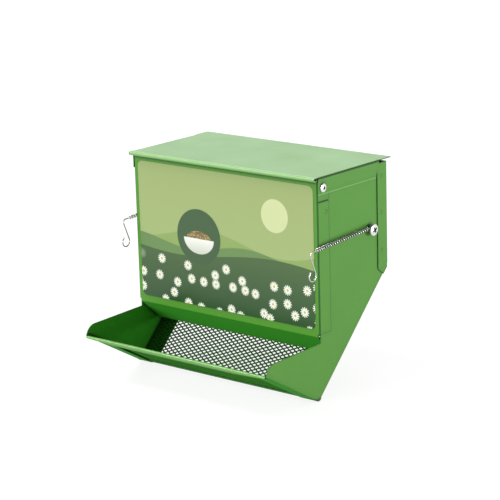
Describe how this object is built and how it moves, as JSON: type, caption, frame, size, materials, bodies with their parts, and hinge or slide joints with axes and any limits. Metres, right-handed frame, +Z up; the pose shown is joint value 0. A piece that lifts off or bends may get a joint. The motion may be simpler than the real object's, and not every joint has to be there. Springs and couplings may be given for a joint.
{
  "type": "cage hopper feeder",
  "caption": "Sheet-metal gravity feeder that hangs on a cage wall, with a hinged lid, a sloped hopper, a mesh-floored trough and two spring hooks.",
  "frame": {"origin": "middle of the front face, on the surface that bears on the cage wall", "axes": "+X to the right seen from the trough, +Y back from the cage wall into the hopper, +Z up"},
  "size_m": [0.2518, 0.2026, 0.2248],
  "materials": {
    "housing_paint": "satin",
    "lid_paint": "satin",
    "mesh_paint": "satin",
    "label_card": "satin",
    "zinc_hardware": "satin",
    "spring_wire": "satin"
  },
  "bodies": {
    "housing": {"front_panel": "housing_paint", "back_panel": "housing_paint", "keel_strip": "housing_paint", "trough_lip": "housing_paint", "left_side_panel": "housing_paint", "right_side_panel": "housing_paint", "front_mesh": "mesh_paint", "rear_mesh": "mesh_paint", "label": "label_card", "left_lid_rivet": "zinc_hardware", "left_anchor_screw": "zinc_hardware", "left_anchor_nut": "zinc_hardware", "right_lid_rivet": "zinc_hardware", "right_anchor_screw": "zinc_hardware", "right_anchor_nut": "zinc_hardware"},
    "lid": {"lid": "lid_paint"},
    "left_spring": {"left_spring_eye": "spring_wire", "left_spring_coil": "spring_wire"},
    "left_hook": {"left_cage_hook": "spring_wire"},
    "right_spring": {"right_spring_eye": "spring_wire", "right_spring_coil": "spring_wire"},
    "right_hook": {"right_cage_hook": "spring_wire"}
  },
  "joints": [
    {"name": "lid_hinge", "type": "hinge", "parent": "housing", "child": "lid", "pos_m": [0, 0.0077, 0.06975], "axis": [1, 0, 0], "range_deg": [0, 85]},
    {"name": "left_spring_swing", "type": "hinge", "parent": "housing", "child": "left_spring", "pos_m": [-0.123, 0.0847, 0.01255], "axis": [1, 0, 0], "range_deg": [-30, 90]},
    {"name": "left_hook_pull", "type": "slide", "parent": "left_spring", "child": "left_hook", "axis": [0, -0.9987, -0.0506], "range_m": [0, 0.025], "stiffness_N_per_m": 400, "deforming": ["left_spring_coil"]},
    {"name": "right_spring_swing", "type": "hinge", "parent": "housing", "child": "right_spring", "pos_m": [0.123, 0.0847, 0.01255], "axis": [1, 0, 0], "range_deg": [-30, 90]},
    {"name": "right_hook_pull", "type": "slide", "parent": "right_spring", "child": "right_hook", "axis": [0, -0.9987, -0.0506], "range_m": [0, 0.025], "stiffness_N_per_m": 400, "deforming": ["right_spring_coil"]}
  ]
}
